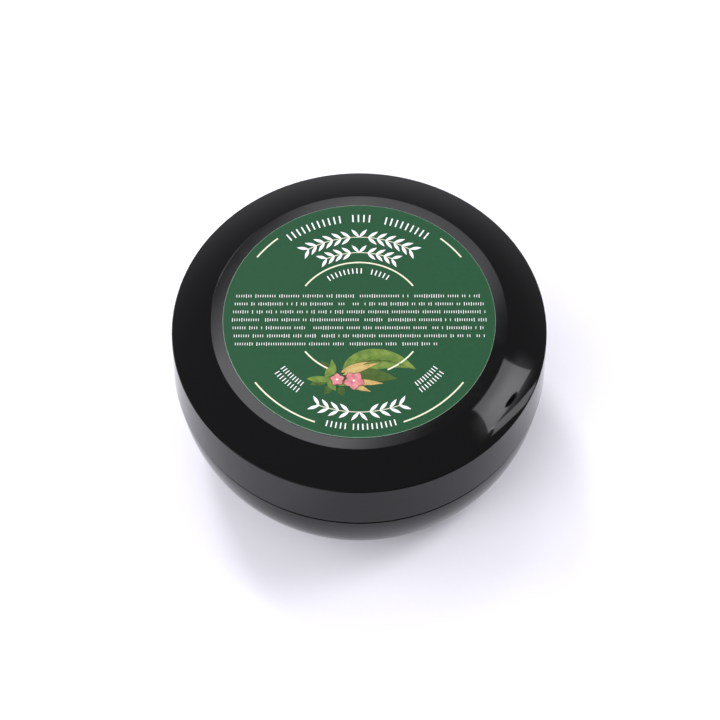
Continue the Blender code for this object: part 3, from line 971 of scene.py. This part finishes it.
# %% Rules and garlands
OUTER_RULE = 26.85
INNER_RULE = 14.05
STEM = 0.17
TITLE_ARC = 20.6
SECOND_ARC = 16.6
LOWER_ARC = 22.9
rule_arcs = [
    (OUTER_RULE, 131.0, 14.0, RULE), (OUTER_RULE, 35.0, 14.0, RULE),
    (OUTER_RULE, 216.0, 34.0, RULE), (OUTER_RULE, 290.0, 34.0, RULE),
    (INNER_RULE, 35.0, 110.0, RULE), (INNER_RULE, 216.0, 29.0, RULE),
    (INNER_RULE, 295.0, 29.0, RULE), (TITLE_ARC, 57.0, 66.0, STEM),
    (SECOND_ARC, 65.0, 50.0, STEM), (LOWER_ARC, 247.0, 46.0, STEM),
]
gather("label_rules", print_rows(
    "rule", rules, ("Radius", "Start", "Sweep", "Width"), rule_arcs, Height=ink_level,
), "lid", "lid_label")

leaf_rows = [
    (13, TITLE_ARC, 90.0, 5.3, 2.6),
    (9, SECOND_ARC, 90.0, 6.2, 2.4),
    (9, LOWER_ARC, 270.0, 5.3, 2.6),
]
gather("label_leaf_rows", print_rows(
    "leaf_row", leaves, ("Count", "Radius", "Middle", "Step", "Tall"), leaf_rows, Stroke=0.72,
    Height=ink_level,
), "lid", "lid_label")

# %% Bars and ticks
bar_rows = [
    (11, 25.5, 113.0, 2.7, 1.9, 0.3),
    (4, 25.5, 89.0, 2.7, 1.9, 0.3),
    (9, 25.5, 66.0, 2.7, 1.9, 0.3),
    (9, 11.9, 105.5, 4.4, 1.3, 0.24),
    (5, 11.9, 68.0, 4.4, 1.3, 0.24),
    (5, 26.4, 259.5, 2.1, 1.4, 0.26),
    (3, 26.4, 269.5, 2.1, 1.4, 0.26),
    (7, 26.4, 280.0, 2.1, 1.4, 0.26),
    (9, 20.1, 225.5, 2.0, 1.15, 0.2),
    (9, 21.8, 226.0, 2.0, 1.15, 0.2),
    (9, 20.1, 314.5, 2.0, 1.15, 0.2),
    (9, 21.8, 314.0, 2.0, 1.15, 0.2),
]
gather("label_bar_rows", print_rows(
    "bar_row", bars, ("Count", "Radius", "Middle", "Step", "Tall", "Stroke"), bar_rows,
    Height=ink_level,
), "lid", "lid_label")

LINE_STEP = 1.99
FIRST_LINE = 5.5
PITCH = 0.5
FIRST_SEED = 3
line_widths = [52.2, 52.8, 53.4, 53.8, 53.4, 52.8]
last_line = 42.4
tick_rows = [
    (round(wide / PITCH), wide, middle, FIRST_LINE - LINE_STEP * i, FIRST_SEED + i)
    for i, (wide, middle) in enumerate([
        *[(wide, 0.0) for wide in line_widths], (last_line, (last_line - line_widths[0]) / 2),
    ])
]
gather("label_tick_rows", print_rows(
    "tick_row", ticks, ("Columns", "Wide", "Middle", "Across", "Seed"), tick_rows, Tall=0.62,
    Stroke=0.14, Height=ink_level,
), "lid", "lid_label")

# %% [markdown]
# ## The printed sprig
# Low on the label sits a small picture of a sprig: one broad veined leaf, a short stem of small
# leaves, four long buds and two open flowers, each bud and petal with a thin dark edge behind it. All
# of them are the same shape, a pointed oval whose spine may bend, drawn at different lengths and
# widths, so one function makes every leaf, bud and petal.


# %% Leaf shapes of ink
BLADE_TIP = 0.03
LAYER = 0.006
OVERLAP = 0.0005


def blade(build, level, root, heading, length, width, bend=0.0, count=14, blunt=0.75):
    """A flat leaf of ink from root, heading in degrees, curving by bend degrees along its length."""
    spine = Vector(root)
    rows = []
    for i in range(count + 1):
        share = i / count
        way = radians(heading + bend * share)
        forward = Vector((cos(way), sin(way)))
        half = max(width / 2 * sin(pi * share ** blunt), BLADE_TIP)
        side = Vector((-forward.y, forward.x)) * half
        low, high = spine - side, spine + side
        rows.append([
            build.verts.new((point.x * MM, point.y * MM, z * MM))
            for point, z in (
                (low, level), (high, level), (high, level - INK), (low, level - INK),
            )
        ])
        spine = spine + forward * length / count
    for row, following in zip(rows, rows[1:]):
        for i in range(4):
            j = (i + 1) % 4
            build.faces.new((row[i], row[j], following[j], following[i]))
    build.faces.new(rows[0])
    build.faces.new(reversed(rows[-1]))


def sprig_piece(name, coat, layers, blades, **shape):
    """Leaves of (root, heading, length, width, bend), this many layers of ink above the label."""
    build = bmesh.new()
    for i, values in enumerate(blades):
        blade(build, ink_level + layers * LAYER + i * OVERLAP, *values, **shape)
    bmesh.ops.recalc_face_normals(build, faces=build.faces)
    return join_model(piece(name, settled(name, build), coat), "lid", "lid_label")


# %% Leaves of the sprig
sprig_piece("sprig_broad_leaf", ink_leaf, 0, [((-3.5, -12.5), 32, 16.4, 5.2, -70)])
sprig_piece("sprig_dark_leaves", ink_leaf_dark, 1, [
    ((-1.5, -14.2), 4, 9.5, 3.4, -18),
    ((-3.2, -12.6), 31, 15.6, 0.35, -70),
    ((-6.0, -14.8), 200, 4.6, 1.9),
    ((-6.0, -13.0), 130, 3.2, 1.6),
    ((-5.6, -16.4), 235, 2.8, 1.7),
    ((-4.0, -16.8), 285, 2.4, 1.6),
])
sprig_piece("sprig_stem_leaves", ink_leaf, 2, [
    ((-10.9, -14.9), -3, 6.5, 1.5),
    ((-7.0, -14.6), 60, 3.6, 1.7),
    ((-6.4, -15.2), -60, 3.0, 1.6),
    ((-5.4, -14.0), 95, 3.8, 1.5),
    ((-5.0, -15.4), -20, 3.0, 1.7),
])
sprig_piece("sprig_veins", ink_leaf_dark, 1.6, [
    ((-3.2 + 2.3 * i, -11.75 + 1.1 * i - 0.2 * i * i), heading - 13 * i, 2.3 - 0.25 * i, 0.14)
    for i in range(1, 6)
    for heading in (58, 2)
])

# %% Buds and flowers of the sprig
EDGE = 0.13
PETALS = 5
PETAL_SHAPE = {"count": 8, "blunt": 1.3}
buds = [
    # root, heading, length, width, bend
    ((-3.8, -13.4), 30, 6.2, 1.3, -12),
    ((-3.4, -14.0), 24, 8.2, 1.4, -6),
    ((-1.6, -15.6), -4, 6.6, 1.4, 0),
    ((-2.2, -16.0), -24, 5.0, 1.4, 0),
]
flowers = [((-4.6, -15.1), 1.5, 20), ((-1.1, -15.4), 2.2, 55)]
petals = [
    (middle, turn + petal * 360 / PETALS, size, size * 0.8)
    for middle, size, turn in flowers
    for petal in range(PETALS)
]


def edged(blades):
    """The same leaves, a little longer and wider."""
    return [
        (root, heading, length + EDGE, width + 2 * EDGE, *bend)
        for root, heading, length, width, *bend in blades
    ]


sprig_piece("sprig_bud_edges", ink_umber, 2.6, edged(buds))
sprig_piece("sprig_buds", ink_bud, 3, buds)
sprig_piece("sprig_petal_edges", ink_umber, 3.5, edged(petals), **PETAL_SHAPE)
sprig_piece("sprig_flowers", ink_blossom, 4.4, petals, **PETAL_SHAPE)
hearts = [((middle[0] - 0.3, middle[1]), 0, 0.6, 0.5) for middle, size, turn in flowers]
sprig_piece("sprig_flower_hearts", ink_cream, 5.4, hearts, count=6)

# %% Print the base label
paper_ink = paper_bottom + INK / 2
grey_ticks = tick_block_tree("grey_tick_block_tree", ink_grey)
grey_rules = rule_tree("grey_rule_tree", ink_grey)
PAPER_LINES = 9
PAPER_STEP = 2.6
PAPER_SEED = 31
PAPER_RULE = paper_radius - 1.5
paper_lines = [
    ((PAPER_LINES - 1) / 2 * PAPER_STEP - PAPER_STEP * i, PAPER_SEED + i) for i in range(PAPER_LINES)
]
gather("base_label_print", [
    *print_rows(
        "paper_row", grey_ticks, ("Across", "Seed"), paper_lines, Columns=44, Wide=32.0, Tall=1.0,
        Stroke=0.36, Height=paper_ink,
    ),
    grown("paper_rule", grey_rules, Radius=PAPER_RULE, Sweep=359.0, Height=paper_ink),
], "base", "base_label")

# %% [markdown]
# ## The table and the studio
# The jar stands on a white table. The studio is painted into the world by direction. The surround is
# pale, darker overhead and darkest in front at the right. A slanting strip hangs high behind the jar,
# a small bright lamp stands behind at the left, and low wide panels fill from the left and the front.
# The softbox at the right has fabric pulled in between its four corners, as a real one's is, with a
# dark lamp holder in its middle and a narrow strip beyond it.

# %% Table
def white_table():
    """A sprayed board: matt white, with a tone that drifts too little to notice."""
    made, tree, shader = finish("table_white_matt", IOR=1.45, Specular_IOR_Level=0.2, Roughness=0.7)
    grain = add(tree, "ShaderNodeTexNoise", {"Vector": place(tree), "Scale": per(30), "Detail": 3.0})
    colour = add(tree, "ShaderNodeMix", {
        0: grain, 6: srgb("#f6f5fb"), 7: srgb("#f4f3fa"),
    }, data_type="RGBA")
    feed(tree, shader, {"Base Color": colour})
    return made


FLOOR_HALF = 3.0
FLOOR_LEVEL = -0.00002
floor_mesh = bpy.data.meshes.new("table")
floor_corners = [
    (x * FLOOR_HALF, y * FLOOR_HALF, FLOOR_LEVEL)
    for x, y in ((-1, -1), (1, -1), (1, 1), (-1, 1))
]
floor_mesh.from_pydata(floor_corners, [], [(0, 1, 2, 3)])
floor = piece("table", floor_mesh, white_table())


# %% Lights painted by direction
def direction(azimuth, elevation):
    """Unit vector; azimuth 0 is straight behind the jar and 90 is to its right."""
    a, e = radians(azimuth), radians(elevation)
    return Vector((sin(a) * cos(e), cos(a) * cos(e), sin(e)))


def panel_group():
    """A shader group: 1 inside a panel seen in one direction, 0 outside, with soft or crisp sides."""
    group = bpy.data.node_groups.new("light_panel", "ShaderNodeTree")
    for in_out, kind, labels in (
        ("INPUT", "NodeSocketVector", ("Look", "Forward", "Right", "Up")),
        ("INPUT", "NodeSocketFloat", ("Wide", "High", "Taper", "Pinch", "Soft")),
        ("OUTPUT", "NodeSocketFloat", ("Panel", "Disc")),
    ):
        for label in labels:
            group.interface.new_socket(label, in_out=in_out, socket_type=kind)
    given = group.nodes.new("NodeGroupInput").outputs
    ahead, right, up = (
        add(group, "ShaderNodeVectorMath", [given["Look"], given[axis]], operation="DOT_PRODUCT")
        for axis in ("Forward", "Right", "Up")
    )
    depth = add(group, "ShaderNodeMath", [ahead, 0.001], operation="MAXIMUM")
    height = add(group, "ShaderNodeMath", [up, depth], operation="DIVIDE")
    rise = add(group, "ShaderNodeMath", [height, given["High"]], operation="DIVIDE")
    taper = add(group, "ShaderNodeMath", [given["Taper"], rise, 1.0], operation="MULTIPLY_ADD")
    width = add(group, "ShaderNodeMath", [given["Wide"], taper], operation="MULTIPLY")
    side = add(group, "ShaderNodeMath", [right, depth], operation="DIVIDE")
    off = add(group, "ShaderNodeMath", [side], operation="ABSOLUTE")
    across = add(group, "ShaderNodeMath", [off, width], operation="DIVIDE")
    along = add(group, "ShaderNodeMath", [rise], operation="ABSOLUTE")
    facing = add(group, "ShaderNodeMath", [ahead, 0.0], operation="GREATER_THAN")
    within = add(group, "ShaderNodeMath", [given["Soft"], -1.0], operation="MULTIPLY")

    def inside(value):
        return add(group, "ShaderNodeMapRange", {
            "Value": value, "From Min": within, "From Max": given["Soft"], "To Min": facing,
            "To Max": 0.0,
        }, interpolation_type="SMOOTHSTEP")

    sides = []
    for one, other in ((across, along), (along, across)):
        square = add(group, "ShaderNodeMath", [other, other], operation="MULTIPLY")
        capped = add(group, "ShaderNodeMath", [square, 1.0], operation="MINIMUM")
        bow = add(group, "ShaderNodeMath", [1.0, capped], operation="SUBTRACT")
        pulled = add(group, "ShaderNodeMath", [given["Pinch"], bow], operation="MULTIPLY")
        edge = add(group, "ShaderNodeMath", [1.0, pulled], operation="SUBTRACT")
        sides.append(inside(add(group, "ShaderNodeMath", [one, edge], operation="SUBTRACT")))
    square = add(group, "ShaderNodeMath", [along, along], operation="MULTIPLY")
    reach = add(group, "ShaderNodeMath", [across, across, square], operation="MULTIPLY_ADD")
    radius = add(group, "ShaderNodeMath", [reach], operation="SQRT")
    past = add(group, "ShaderNodeMath", [radius, 1.0], operation="SUBTRACT")
    both = add(group, "ShaderNodeMath", sides, operation="MULTIPLY")
    add(group, "NodeGroupOutput", [both, inside(past)])
    return group


def panel(tree, group, look, azimuth, elevation, roll, wide, high, taper=0.0, pinch=0.0, soft=0.02):
    """Adds one light panel, its half sizes in degrees; gives the outputs Panel and Disc."""
    forward = direction(azimuth, elevation)
    level = forward.cross(Vector((0, 0, 1))).normalized()
    up = level.cross(forward)
    turn = radians(roll)
    return add(tree, "ShaderNodeGroup", {
        "Look": look, "Forward": forward, "Right": level * cos(turn) + up * sin(turn),
        "Up": up * cos(turn) - level * sin(turn), "Wide": tan(radians(wide)),
        "High": tan(radians(high)), "Taper": taper, "Pinch": pinch, "Soft": soft,
    }, node_tree=group).outputs


# %% The world
HORIZON_GLOW = 1.36
OVERHEAD_GLOW = 0.62
GLOW_HEIGHTS = (0.1, 0.65)
FRONT_SHARE = 0.15
FRONT_LEAN = -0.5
FRONT_REACH = (-0.8, -0.46)
STUDIO_TINT = (0.97, 0.965, 1.0)
lights = [
    # radiance, azimuth, elevation, roll, half width, half height, taper, pinch, softness
    (9.4, -4.0, 60.2, -48, 6.0, 2.5, 0.0, 0.0, 0.4),
    (8.1, 69.7, 53.8, 47, 9.6, 6.9, -0.22, 0.08, 0.02),
    (5.6, 72.5, 52.0, 47, 9.0, 4.5, -0.1, 0.0, 0.7),
    (8.5, 80.6, 46.3, 53, 11.5, 1.6, 0.0, 0.15, 0.04),
    (27.0, -24.0, 44.0, 0, 6.0, 6.0, 0.0, 0.0, 0.3),
    (8.2, -76.0, 16.0, 0, 15.0, 10.0, 0.0, 0.0, 0.3),
    (7.0, -122.0, 35.0, 0, 13.0, 9.0, 0.0, 0.0, 0.2),
    (4.4, -152.0, 26.0, 0, 16.0, 10.0, 0.0, 0.0, 0.2),
]
lamp_holder = (75.6, 49.6, 50, 2.9, 1.1)

studio = bpy.data.worlds.new("studio")
bpy.context.scene.world = studio
studio.use_nodes = True
sky = studio.node_tree
sky.nodes.clear()
look = add(sky, "ShaderNodeTexCoord").outputs["Generated"]
aim = add(sky, "ShaderNodeSeparateXYZ", [look]).outputs
shade = add(sky, "ShaderNodeMapRange", {
    "Value": aim["Z"], "From Min": GLOW_HEIGHTS[0], "From Max": GLOW_HEIGHTS[1],
    "To Min": HORIZON_GLOW, "To Max": OVERHEAD_GLOW,
}, interpolation_type="SMOOTHSTEP")
away = add(sky, "ShaderNodeMath", [aim["X"], FRONT_LEAN, aim["Y"]], operation="MULTIPLY_ADD")
front = add(sky, "ShaderNodeMapRange", {
    "Value": away, "From Min": FRONT_REACH[0], "From Max": FRONT_REACH[1], "To Min": FRONT_SHARE,
    "To Max": 1.0,
})
total = add(sky, "ShaderNodeMath", [shade, front], operation="MULTIPLY")
group = panel_group()
for radiance, *values in lights:
    one = panel(sky, group, look, *values)["Panel"]
    total = add(sky, "ShaderNodeMath", [one, radiance, total], operation="MULTIPLY_ADD")
hole = panel(sky, group, look, *lamp_holder)["Disc"]
open_share = add(sky, "ShaderNodeMath", [1.0, hole], operation="SUBTRACT")
seen = add(sky, "ShaderNodeMath", [total, open_share], operation="MULTIPLY")
tint = add(sky, "ShaderNodeVectorMath", {0: STUDIO_TINT, "Scale": seen}, operation="SCALE")
backdrop = add(sky, "ShaderNodeBackground", {"Color": tint, "Strength": 1.0})
add(sky, "ShaderNodeOutputWorld", [backdrop])
print(f"{len(lights)} light panels in the studio")

# %% [markdown]
# ## The camera
# A long lens looks down at the jar from the front at about 58 degrees, far enough away for the two
# ends of the ellipse to look alike. The view is level from side to side, and the aim falls a little
# below the middle of the label.

# %% Camera
DISTANCE = 0.480
LENS = 113.1
ELEVATION = 58.23
DROP = 1.066
YAW = -0.038

target = Vector((0, 0, label_top * MM))
lens = bpy.data.cameras.new("camera")
lens.lens = LENS
lens.sensor_width = 36
camera = bpy.data.objects.new("camera", lens)
bpy.context.scene.collection.objects.link(camera)
camera.location = target - DISTANCE * Vector((0, cos(radians(ELEVATION)), -sin(radians(ELEVATION))))
camera.rotation_euler = Euler((radians(90 - ELEVATION - DROP), 0, radians(YAW)))
bpy.context.scene.camera = camera
bpy.context.scene.view_settings.view_transform = "Standard"
